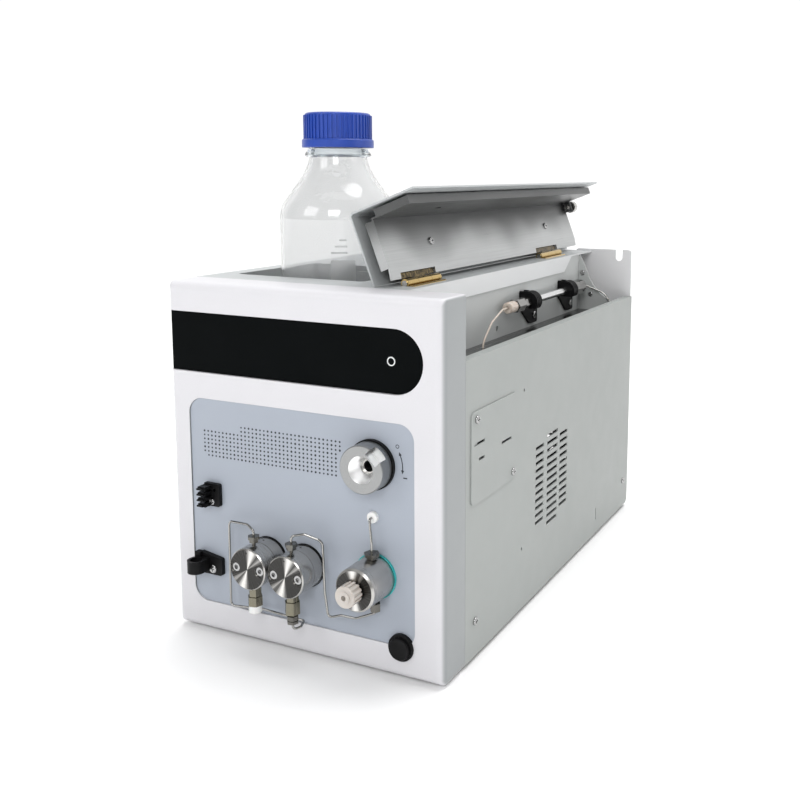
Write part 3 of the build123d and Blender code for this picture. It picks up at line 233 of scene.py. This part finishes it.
def turned_face_painted_glint(name, col, centre, glint_angle=72.0, rough=0.26):
    """lathe-faced metal: painted highlight and painted shade as radial fans on the flat end, bright fans on a dark base
    standing in for the turned face's glint, rings along the barrel
    """
    m = brushed(name, scl(col, 1.08), rough, 1, 0.012, 0.0, 0.05, True)
    t = m.node_tree
    b = next(x for x in t.nodes if x.type == "BSDF_PRINCIPLED")
    co = t.nodes.new("ShaderNodeTexCoord").outputs["Object"]
    sp_ = t.nodes.new("ShaderNodeSeparateXYZ")
    t.links.new(co, sp_.inputs[0])

    def mt(op, a, bb=None, clamp=False):
        x = t.nodes.new("ShaderNodeMath")
        x.operation = op
        x.use_clamp = clamp
        for i, v in enumerate((a, bb)):
            if v is None:
                continue
            if isinstance(v, (int, float)):
                x.inputs[i].default_value = v
            else:
                t.links.new(v, x.inputs[i])
        return x.outputs[0]

    # painted highlight and painted shade: the flat end's colour swings by angle round the axis, with bright fans at the
    # given angle standing in for the lathe glint
    ang = mt("ARCTAN2", mt("SUBTRACT", sp_.outputs[2], (centre[1] + SH[2]) / 1000), mt("SUBTRACT", sp_.outputs[0], (centre[0] + SH[0]) / 1000))
    fan = mt("COSINE", mt("MULTIPLY", mt("SUBTRACT", ang, math.radians(glint_angle)), 2.0))
    wide_glint = mt("POWER", mt("MAXIMUM", fan, 0.0), 9.0)
    fan2 = mt("COSINE", mt("MULTIPLY", mt("SUBTRACT", ang, math.radians(glint_angle - 34)), 2.0))
    slim_glint = mt("MULTIPLY", mt("POWER", mt("MAXIMUM", fan2, 0.0), 40.0), 0.35)
    fine = mt("MULTIPLY", mt("ADD", mt("SINE", mt("MULTIPLY", ang, 41.0)), mt("SINE", mt("MULTIPLY", ang, 67.0))), 0.03)
    glint_mask = mt("SMOOTH_MIN", mt("ADD", mt("ADD", wide_glint, slim_glint), fine), 1.0)
    glint_mix = t.nodes.new("ShaderNodeMix")
    glint_mix.data_type = "RGBA"
    t.links.new(mt("MAXIMUM", glint_mask, 0.0), glint_mix.inputs[0])
    # dark copy of the steel for painted shade, bright copy for painted highlight
    glint_mix.inputs[6].default_value = (*scl(col, 0.085), 1.0)
    glint_mix.inputs[7].default_value = (*scl(col, 1.70), 1.0)
    geo_ = t.nodes.new("ShaderNodeNewGeometry")
    sn_ = t.nodes.new("ShaderNodeSeparateXYZ")
    t.links.new(geo_.outputs["True Normal"], sn_.inputs[0])
    flat = mt("GREATER_THAN", mt("MULTIPLY", sn_.outputs[1], -1.0), 0.9)
    sel = t.nodes.new("ShaderNodeMix")
    sel.data_type = "RGBA"
    old_ = b.inputs["Base Color"].links[0].from_socket
    t.links.new(flat, sel.inputs[0])
    t.links.new(old_, sel.inputs[6])
    t.links.new(glint_mix.outputs[2], sel.inputs[7])
    t.links.new(sel.outputs[2], b.inputs["Base Color"])
    return m


def embossed(name, col):
    g = Nt(name)
    sw_ = g.noise(420.0, 3.0, 0.6)
    c = g.mix(g.rng(sw_, 0, 1, 0.40, 0.60), scl(col, 0.25), scl(col, 1.5))
    g.link(c, g.b.inputs["Base Color"])
    g.b.inputs["Metallic"].default_value = 1.0
    g.link(g.rng(sw_, 0.18, 0.30), g.b.inputs["Roughness"])
    g.link(g.bump(sw_, 0.6, 0.0003), g.b.inputs["Normal"])
    return g.m


def blasted(name, col, rough=0.5):
    g = Nt(name)
    sp = g.noise(2600.0, 2.0, 0.7)
    big = g.noise(90.0, 3.0)
    c = g.mix(g.rng(sp, 0, 1), scl(col, 0.80), scl(col, 1.12))
    c = g.mix(g.rng(big, 0, 0.18), c, scl(col, 0.7))
    g.link(c, g.b.inputs["Base Color"])
    g.b.inputs["Metallic"].default_value = 1.0
    g.link(g.rng(sp, rough - 0.08, rough + 0.1), g.b.inputs["Roughness"])
    g.link(g.bump(sp, 0.5, 0.00006), g.b.inputs["Normal"])
    return g.m


def glass(name, col=(0.97, 0.99, 0.99), rough=0.0, ior=1.47, trans=1.0):
    g = Nt(name)
    wave = g.noise(38.0, 2.0, 0.5)
    g.b.inputs["Base Color"].default_value = (*col, 1)
    g.b.inputs["Transmission Weight"].default_value = trans
    g.b.inputs["IOR"].default_value = ior
    g.link(g.rng(g.noise(150.0, 3.0), rough, rough + 0.035), g.b.inputs["Roughness"])
    g.link(g.bump(wave, 0.10, 0.0006), g.b.inputs["Normal"])
    return g.m


def gloss_black(name):
    g = Nt(name)
    sm = g.noise(24.0, 4.0, 0.6)
    c = g.mix(g.rng(sm, 0, 1), (0.0022, 0.0030, 0.0032), (0.0036, 0.0044, 0.0047))
    g.link(c, g.b.inputs["Base Color"])
    g.link(g.rng(sm, 0.14, 0.22), g.b.inputs["Roughness"])
    g.b.inputs["Specular IOR Level"].default_value = 0.02
    g.link(g.bump(g.noise(9.0, 1.0), 0.08, 0.0006), g.b.inputs["Normal"])
    return g.m


def board(name):
    g = Nt(name)
    v = g.n("ShaderNodeTexVoronoi", distance="CHEBYCHEV", feature="DISTANCE_TO_EDGE")
    v.inputs["Scale"].default_value = 90.0
    g.link(g.co, v.inputs["Vector"])
    t = g.math("LESS_THAN", v.outputs["Distance"], 0.05)
    g.link(g.mix(t, (0.01, 0.09, 0.03), (0.03, 0.20, 0.08)), g.b.inputs["Base Color"])
    g.link(g.rng(g.noise(60.0), 0.35, 0.5), g.b.inputs["Roughness"])
    return g.m


# ------------------------------------------------------------------ colours and materials
WHITE = (0.665, 0.66, 0.685)
# dark grey used as painted shade on the white bezel's right side return
WHITE_SHADED_SIDE = (0.285, 0.30, 0.305)
TOPG = (0.46, 0.48, 0.485)
SIDE = (0.335, 0.352, 0.342)
PANEL = (0.37, 0.405, 0.465)
STEEL = (0.50, 0.49, 0.47)
OLIVE = (0.25, 0.235, 0.18)
ALU = (0.80, 0.81, 0.815)
BRASS = (0.60, 0.43, 0.17)
PEEK = (0.62, 0.54, 0.47)
BLACK = (0.0065, 0.0065, 0.007)

m_white = paint("white_paint", WHITE, 0.40, 0.10, coat=0.15, var=0.02)
# painted shade: faces of the white bezel turned towards +X blend by their normal into the dark grey, darkening the side
# return as if in lower light
bt = m_white.node_tree
geo = bt.nodes.new("ShaderNodeNewGeometry")
sn = bt.nodes.new("ShaderNodeSeparateXYZ")
bt.links.new(geo.outputs["Normal"], sn.inputs[0])
br = bt.nodes.new("ShaderNodeMapRange")
br.interpolation_type = "SMOOTHSTEP"
br.inputs["From Min"].default_value = 0.55
br.inputs["From Max"].default_value = 1.0
bt.links.new(sn.outputs[0], br.inputs["Value"])
side_shade_mix = bt.nodes.new("ShaderNodeMix")
side_shade_mix.data_type = "RGBA"
bb_ = next(x for x in bt.nodes if x.type == "BSDF_PRINCIPLED")
old = bb_.inputs["Base Color"].links[0].from_socket
bt.links.new(br.outputs[0], side_shade_mix.inputs[0])
bt.links.new(old, side_shade_mix.inputs[6])
side_shade_mix.inputs[7].default_value = (*WHITE_SHADED_SIDE, 1.0)
bt.links.new(side_shade_mix.outputs[2], bb_.inputs["Base Color"])
m_top = paint("top_paint", TOPG, 0.42, 0.2)
m_side = paint("side_paint", SIDE, 0.46, 0.24)
m_panel = paint("panel_paint", PANEL, 0.42, 0.16, var=0.03)
# painted light: a much lighter copy of the rear panel's paint for its front-facing and top faces
m_rear_lit = paint("rear_paint_lit", (0.86, 0.86, 0.87), 0.45, 0.18)
m_black = plastic("black_plastic", BLACK, 0.40, spec=0.12)
m_alu = brushed("bare_aluminium", ALU, 0.36, 1, 0.4, 0.35)
m_lidin = brushed("lid_aluminium", (0.52, 0.53, 0.53), 0.34, 1, 0.05, 0.3, dull=0.10)
# painted shade on the lid liner: its colour is multiplied down to 0.28 towards the top of its height, the edge of the
# dark part shifted by noise
zs = [N["lid_liner"].matrix_world @ v.co for v in N["lid_liner"].data.vertices]
z0, z1 = min(v.z for v in zs), max(v.z for v in zs)
lt = m_lidin.node_tree
lb = next(x for x in lt.nodes if x.type == "BSDF_PRINCIPLED")
lco = lt.nodes.new("ShaderNodeTexCoord")
lsp = lt.nodes.new("ShaderNodeSeparateXYZ")
lt.links.new(lco.outputs["Object"], lsp.inputs[0])
lwv = lt.nodes.new("ShaderNodeTexNoise")
lwv.inputs["Scale"].default_value = 13.0
lwv.inputs["Detail"].default_value = 1.0
lt.links.new(lco.outputs["Object"], lwv.inputs["Vector"])
ladd = lt.nodes.new("ShaderNodeMath")
ladd.operation = "MULTIPLY_ADD"
ladd.inputs[1].default_value = (z1 - z0) * 0.7
lt.links.new(lwv.outputs[0], ladd.inputs[0])
lt.links.new(lsp.outputs[2], ladd.inputs[2])
lid_shade_ramp = lt.nodes.new("ShaderNodeMapRange")
lid_shade_ramp.interpolation_type = "SMOOTHSTEP"
lid_shade_ramp.inputs["From Min"].default_value = z0 + (z1 - z0) * 0.52
lid_shade_ramp.inputs["From Max"].default_value = z0 + (z1 - z0) * 1.00
lid_shade_ramp.inputs["To Min"].default_value = 0.0
lid_shade_ramp.inputs["To Max"].default_value = 1.0
lt.links.new(ladd.outputs[0], lid_shade_ramp.inputs["Value"])
lid_shade_mix = lt.nodes.new("ShaderNodeMix")
lid_shade_mix.data_type = "RGBA"
lid_shade_mix.blend_type = "MULTIPLY"
lid_shade_mix.inputs[7].default_value = (0.28, 0.28, 0.28, 1.0)
lold = lb.inputs["Base Color"].links[0].from_socket
lt.links.new(lid_shade_ramp.outputs[0], lid_shade_mix.inputs[0])
lt.links.new(lold, lid_shade_mix.inputs[6])
lt.links.new(lid_shade_mix.outputs[2], lb.inputs["Base Color"])
m_liner = paint("compartment_sheet", (0.485, 0.50, 0.495), 0.50, 0.15, var=0.05)
# painted light: a much lighter copy of the top paint for the cover's right-facing fold
m_fold_lit = paint("fold_paint_lit", (0.66, 0.67, 0.675), 0.42, 0.2)
m_trough = brushed("trough_sheet", (0.18, 0.18, 0.18), 0.22, 1, 0.12, 0.2, dull=0.3)
m_brass = brushed("brass", BRASS, 0.16, 1, 0.1, 0.2, dull=0.35)
m_brassleaf = embossed("brass_leaf", (0.11, 0.08, 0.035))
m_steel = brushed("steel", (0.50, 0.49, 0.47), 0.20, 2, 0.15, 0.2)
m_olive = brushed("machined_steel", OLIVE, 0.22, 2, 0.15, 0.2, dull=0.3)
m_darknut = brushed("dark_nut_steel", (0.17, 0.165, 0.15), 0.20, 2, 0.15, 0.2, dull=0.3)
m_tube = brushed("capillary_steel", (0.38, 0.375, 0.36), 0.12, 2, 0.03, 0.0)
m_screw = brushed("plated_screw", (0.44, 0.44, 0.44), 0.18, 0, 0.1, 0.0)
m_peek = plastic("peek", PEEK, 0.40, 0.25, 1200.0, sss=0.15)
m_cap = plastic("blue_cap", (0.016, 0.060, 0.37), 0.34, 0.15, 900.0, sss=0.05)
m_wplas = plastic("white_plastic", (0.83, 0.83, 0.82), 0.36, 0.1, 900.0, sss=0.1)
m_teal = plastic("teal_plastic", (0.03, 0.40, 0.40), 0.30, 0.1)
m_rubber = plastic("rubber", (0.02, 0.02, 0.02), 0.62, 0.5, 1800.0)
m_cast = blasted("cast_aluminium", (0.62, 0.63, 0.64), 0.45)
m_knob = blasted("blasted_aluminium", (0.36, 0.365, 0.365), 0.38)
m_bright = brushed("bright_bore", (0.90, 0.90, 0.90), 0.30, 1, 0.02, 0.0, 0.05, True)
m_glass = glass("bottle_glass", (0.945, 0.95, 0.952), 0.01, 1.47, 0.88)
m_ring = glass("clear_plastic", (0.90, 0.95, 0.97), 0.08, 1.42)
m_window = gloss_black("window_black")

MAT = {
    "base_tray": m_side, "feet": m_rubber, "front_bezel": m_white, "display_window": m_window, "front_panel": m_panel,
    "right_side_panel": m_side, "left_side_panel": m_side, "top_cover": m_top, "rear_panel": paint("rear_outside", (0.36, 0.375, 0.37), 0.45, 0.2), "access_plate": m_side,
    "case_screws": m_screw, "bottle_well": m_top, "solvent_bottle": m_glass, "pouring_ring": m_ring, "bottle_cap": m_cap,
    "compartment_liner": m_liner, "hinge_fixed_leaves": m_brass, "hinge_moving_leaves": m_brassleaf, "hinge_pins": m_steel,
    "column_tube": brushed("column_steel", (0.74, 0.74, 0.74), 0.16, 1, 0.15, 0.3),
    "column_end_fittings": brushed("column_fitting_steel", (0.34, 0.335, 0.325), 0.13, 1, 0.05, 0.0, dull=0.3), "column_nut": m_peek, "column_clips": m_black,
    "column_inlet_tube": m_peek, "column_outlet_tube": m_tube,
    # the pump heads' and purge valve's front faces carry painted highlight and painted shade fans
    "left_pump_head": turned_face_painted_glint("turned_left_glint", STEEL, (79.8, 61.7)), "right_pump_head": turned_face_painted_glint("turned_right_glint", STEEL, (109.6, 61.7), 74.0),
    "seal_housings": brushed("turned_housing", scl(STEEL, 1.04), 0.26, 1, 0.012, 0.0, 0.05, True),
    "pump_head_screws": m_screw, "check_valves": m_olive, "tube_nuts": m_darknut, "inlet_plug": m_wplas,
    "crossover_tube": m_tube, "outlet_tube": m_tube, "riser_tube": m_tube,
    "purge_valve_body": turned_face_painted_glint("turned_purge_glint", STEEL, (163.4, 64.65), 95.0), "purge_valve_collar": m_teal, "purge_knob": plastic("grey_peek", (0.56, 0.52, 0.48), 0.40, 0.25, 1200.0, sss=0.15),
    "injector_body": brushed("turned_injector", scl(STEEL, 1.1), 0.28, 1, 0.05, 0.0, 0.05, True), "valve_collars": m_black, "injector_knob": m_knob,
    "tube_grommet": m_wplas, "tube_comb": m_black, "syringe_clip": m_black, "button_bezel": m_black, "power_button": m_black,
    "pump_drive_housing": m_cast, "drive_motor": paint("motor_paint", (0.03, 0.03, 0.035), 0.5), "detector_unit": m_cast,
    "main_board": board("laminate"), "power_supply": m_alu, "fan_frame": m_black, "fan_rotor": m_black, "power_inlet": m_black,
    "lid_outer": m_top, "lid_liner": m_lidin, "lid_screws": m_screw, "lid_thumbscrew": m_steel,
    "left_plunger": m_steel, "right_plunger": m_steel,
}
for name, m in MAT.items():
    o = N[name]
    o.data.materials.clear()
    o.data.materials.append(m)
missing = sorted(set(N) - set(MAT))
if missing:
    raise SystemExit("no material for " + ", ".join(missing))


def faces_to(node, mat, test):
    """give a second material to the faces whose centre (layout mm) and normal pass the test"""
    o = N[node]
    o.data.materials.append(mat)
    k = len(o.data.materials) - 1
    mw = o.matrix_world
    rot = mw.to_3x3()
    for pl in o.data.polygons:
        c = mw @ pl.center
        nn = (rot @ pl.normal).normalized()
        if test((c.x * 1000 - SH[0], c.y * 1000 - SH[1], c.z * 1000 - SH[2]), nn):
            pl.material_index = k


# painted light on the rear panel's front-facing and top faces
faces_to("rear_panel", m_rear_lit, lambda c, n: n.y < -0.5 or n.z > 0.9)
# painted light on the top cover's right-facing fold faces
faces_to("top_cover", m_fold_lit, lambda c, n: n.x > 0.9 and c[0] > 171.0)
faces_to("hinge_moving_leaves", m_brass, lambda c, n: math.hypot(c[0] - 158.5, c[2] - 245.8) < 3.3)
faces_to("hinge_fixed_leaves", m_top, lambda c, n: c[2] < 243.1 and n.z > 0.9 and c[0] < 161.0)
faces_to("compartment_liner", m_trough, lambda c, n: n.z > 0.9 and c[2] < 194.0)
faces_to("injector_knob", m_bright, lambda c, n: math.hypot(c[0] - 161.7, c[2] - 137.3) < 9.2 and abs(n.y) < 0.95)
faces_to("injector_knob", m_bright, lambda c, n: math.hypot(c[0] - 161.7, c[2] - 137.3) < 15.0 and abs(n.y) < 0.3 and c[1] < -6.0
         and n.x * (c[0] - 161.7) + n.z * (c[2] - 137.3) > 0)
# painted shade: the injector body's bore faces near the axis are made near-black
bore_shade = plastic("dark_bore", (0.006, 0.006, 0.006), 0.6, 0.1)
faces_to("injector_body", bore_shade, lambda c, n: math.hypot(c[0] - 161.7, c[2] - 137.3) < 3.9 and c[1] < 6.0)


# ------------------------------------------------------------------ mesh helpers for added pieces
def mesh_obj(name, bm, mat, body, smooth=None):
    me = bpy.data.meshes.new(name)
    bm.normal_update()
    bm.to_mesh(me)
    bm.free()
    o = bpy.data.objects.new(name, me)
    bpy.context.scene.collection.objects.link(o)
    me.materials.append(mat)
    if smooth is not None:
        for p in me.polygons:
            p.use_smooth = True
        me.set_sharp_from_angle(angle=math.radians(smooth))
    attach(o, body)
    return o


def annulus_y(bm, x, z, r_out, r_in, y0, y1, seg=48, a0=0.0, a1=2 * math.pi):
    """flat ring with its axis along Y between y0 (front) and y1"""
    full = abs(a1 - a0 - 2 * math.pi) < 1e-6
    k = seg if full else seg + 1
    loops = []
    for rr, yy in ((r_out, y1), (r_out, y0), (r_in, y0), (r_in, y1)):
        loops.append([bm.verts.new(P(x + rr * math.cos(a0 + (a1 - a0) * i / seg), yy, z + rr * math.sin(a0 + (a1 - a0) * i / seg))) for i in range(k)])
    for a, b in zip(loops, loops[1:] + loops[:1]):
        for i in range(seg):
            j = (i + 1) % k
            bm.faces.new((a[i], a[j], b[j], b[i]))
    if not full:
        for i in (0, k - 1):
            bm.faces.new([q[i] for q in loops])


def slab_y(bm, pts, y0, y1):
    """polygon of x, z points as a thin plate between y0 (front) and y1"""
    a = [bm.verts.new(P(px, y0, pz)) for px, pz in pts]
    b = [bm.verts.new(P(px, y1, pz)) for px, pz in pts]
    n = len(pts)
    bm.faces.new(a)
    bm.faces.new(b[::-1])
    for i in range(n):
        bm.faces.new((a[i], b[i], b[(i + 1) % n], a[(i + 1) % n]))


# window light ring
m_led = plastic("ring_print", (0.72, 0.74, 0.74), 0.3, 0.05)
bm = bmesh.new()
annulus_y(bm, 175.0, 203.6, 2.9, 2.15, 1.93, 2.02)
bmesh.ops.recalc_face_normals(bm, faces=bm.faces)
mesh_obj("window_ring", bm, m_led, "case")

# dot field printed on the panel
m_ink = plastic("panel_ink", (0.018, 0.022, 0.028), 0.5, 0.05)
bm = bmesh.new()
cols = 36
x_a, x_b, z_a = 28.0, 137.4, 148.5
for row in range(9):
    for c in range(cols):
        x = x_a + (x_b - x_a) * c / (cols - 1)
        z = z_a - 2.8 * row
        if row < 2 and x < 57.0:
            continue
        if c == cols - 1 and row > 2:
            continue
        if row == 8 and c == 0:
            continue
        k = 0.70 + 0.10 * math.sin(c * 1.7 + row * 2.3) * math.cos(c * 0.6 - row * 1.1)
        ring = [(x + k * math.cos(2 * math.pi * i / 10), z + k * math.sin(2 * math.pi * i / 10)) for i in range(10)]
        slab_y(bm, ring, 0.95, 1.02)
bmesh.ops.recalc_face_normals(bm, faces=bm.faces)
mesh_obj("panel_dots", bm, m_ink, "case")

# two-headed arc beside the injector knob, with a plain mark at each end
bm = bmesh.new()
ca, cb, R_ = 161.7, 137.3, 21.5
a0, a1 = math.radians(-3), math.radians(22)
annulus_y(bm, ca, cb, R_ + 0.35, R_ - 0.35, 0.95, 1.02, 20, a0, a1)
for a, s in ((a0, -1), (a1, 1)):
    t = (-math.sin(a) * s, math.cos(a) * s)
    n_ = (math.cos(a), math.sin(a))
    x, z = ca + R_ * n_[0], cb + R_ * n_[1]
    slab_y(bm, [(x + 1.1 * n_[0], z + 1.1 * n_[1]), (x - 1.1 * n_[0], z - 1.1 * n_[1]), (x + 2.4 * t[0], z + 2.4 * t[1])], 0.95, 1.02)
annulus_y(bm, 179.6, 150.9, 1.3, 0.85, 0.95, 1.02, 20)
slab_y(bm, [(183.6, 131.0), (186.4, 131.0), (186.4, 131.8), (183.6, 131.8)], 0.95, 1.02)
bmesh.ops.recalc_face_normals(bm, faces=bm.faces)
mesh_obj("knob_marks", bm, m_ink, "case")

# plain enamel field and graduation ticks on the far side of the bottle
m_enamel = plastic("white_enamel", (0.93, 0.94, 0.94), 0.55, 0.05)
next(x for x in m_enamel.node_tree.nodes if x.type == "BSDF_PRINCIPLED").inputs["Transmission Weight"].default_value = 0.75
BOT_X, BOT_Y, BOT_R = 70.6, 104.3, 43.0


def patch_z(bm, a_mid, half, z0, z1, r0=BOT_R + 0.03, r1=BOT_R + 0.16):
    """curved plate on the bottle's wall, centred on the angle a_mid in degrees, half its width in degrees"""
    k = max(2, int(half / 1.5) + 1)
    cols = []
    for i in range(k + 1):
        t = math.radians(a_mid - half + 2 * half * i / k)
        cols.append([bm.verts.new(P(BOT_X + rr * math.cos(t), BOT_Y + rr * math.sin(t), zz)) for rr, zz in ((r0, z0), (r1, z0), (r1, z1), (r0, z1))])
    for a_, b_ in zip(cols, cols[1:]):
        for i in range(4):
            j = (i + 1) % 4
            bm.faces.new((a_[i], b_[i], b_[j], a_[j]))
    bm.faces.new(cols[0])
    bm.faces.new(cols[-1][::-1])


bm = bmesh.new()
patch_z(bm, 120.0, 13.5, 226.0, 249.0)
for i in range(6):
    patch_z(bm, 97.0, 5.0 if i % 2 == 0 else 3.0, 222.0 + 9.0 * i, 222.7 + 9.0 * i)
for i in range(3):
    patch_z(bm, 124.0 - 2.0 * i, 9.0 - 2.4 * i, 254.0 + 5.0 * i, 255.4 + 5.0 * i)
bmesh.ops.recalc_face_normals(bm, faces=bm.faces)
mesh_obj("bottle_ticks", bm, m_enamel, "case")

# ------------------------------------------------------------------ floor, light, world
fm = Nt("floor")
fm.link(fm.mix(fm.rng(fm.noise(3.0), 0, 1), (0.93, 0.93, 0.93), (0.95, 0.95, 0.95)), fm.b.inputs["Base Color"])
fm.b.inputs["Roughness"].default_value = 0.9
fm.b.inputs["Specular IOR Level"].default_value = 0.1
bm = bmesh.new()
bmesh.ops.create_grid(bm, x_segments=1, y_segments=1, size=14.0)
me = bpy.data.meshes.new("floor")
bm.to_mesh(me)
bm.free()
floor = bpy.data.objects.new("floor", me)
bpy.context.scene.collection.objects.link(floor)
me.materials.append(fm.m)

w = bpy.data.worlds.new("studio")
bpy.context.scene.world = w
w.use_nodes = True
wt = w.node_tree
wt.nodes.clear()
wo = wt.nodes.new("ShaderNodeOutputWorld")
wb = wt.nodes.new("ShaderNodeBackground")
tc = wt.nodes.new("ShaderNodeTexCoord")
sp = wt.nodes.new("ShaderNodeSeparateXYZ")
wt.links.new(tc.outputs["Generated"], sp.inputs[0])
mr = wt.nodes.new("ShaderNodeMapRange")
mr.interpolation_type = "SMOOTHSTEP"
mr.inputs["From Min"].default_value = -0.25
mr.inputs["From Max"].default_value = 0.25
mr.inputs["To Min"].default_value = 0.20
mr.inputs["To Max"].default_value = 1.04
wt.links.new(sp.outputs[1], mr.inputs["Value"])
wt.links.new(mr.outputs[0], wb.inputs["Strength"])
wb.inputs["Color"].default_value = (1, 1, 1, 1)
wt.links.new(wb.outputs[0], wo.inputs[0])


def softbox(name, at, to, size, radiance, col=(1, 1, 1)):
    d = bpy.data.lights.new(name, "AREA")
    d.shape = "RECTANGLE"
    d.size, d.size_y = size
    d.energy = radiance * math.pi * size[0] * size[1]
    d.color = col
    o = bpy.data.objects.new(name, d)
    bpy.context.scene.collection.objects.link(o)
    o.location = at
    v = Vector(to) - Vector(at)
    o.rotation_euler = v.to_track_quat("-Z", "Y").to_euler()
    return o


softbox("key", (-0.9, -1.7, 1.25), (0, -0.1, 0.12), (1.0, 1.0), 3.3)
softbox("front_right", (0.75, -1.9, 1.35), (0.05, 0, 0.15), (0.8, 0.8), 9.0)
softbox("side_fill", (2.2, 0.3, 0.9), (0.1, 0, 0.1), (0.9, 0.9), 0.9)
sun_d = bpy.data.lights.new("overhead", "SUN")
sun_d.energy = 1.9
sun_d.angle = math.radians(50)
sun = bpy.data.objects.new("overhead", sun_d)
bpy.context.scene.collection.objects.link(sun)
sun.rotation_euler = (math.radians(-14), math.radians(4), 0)
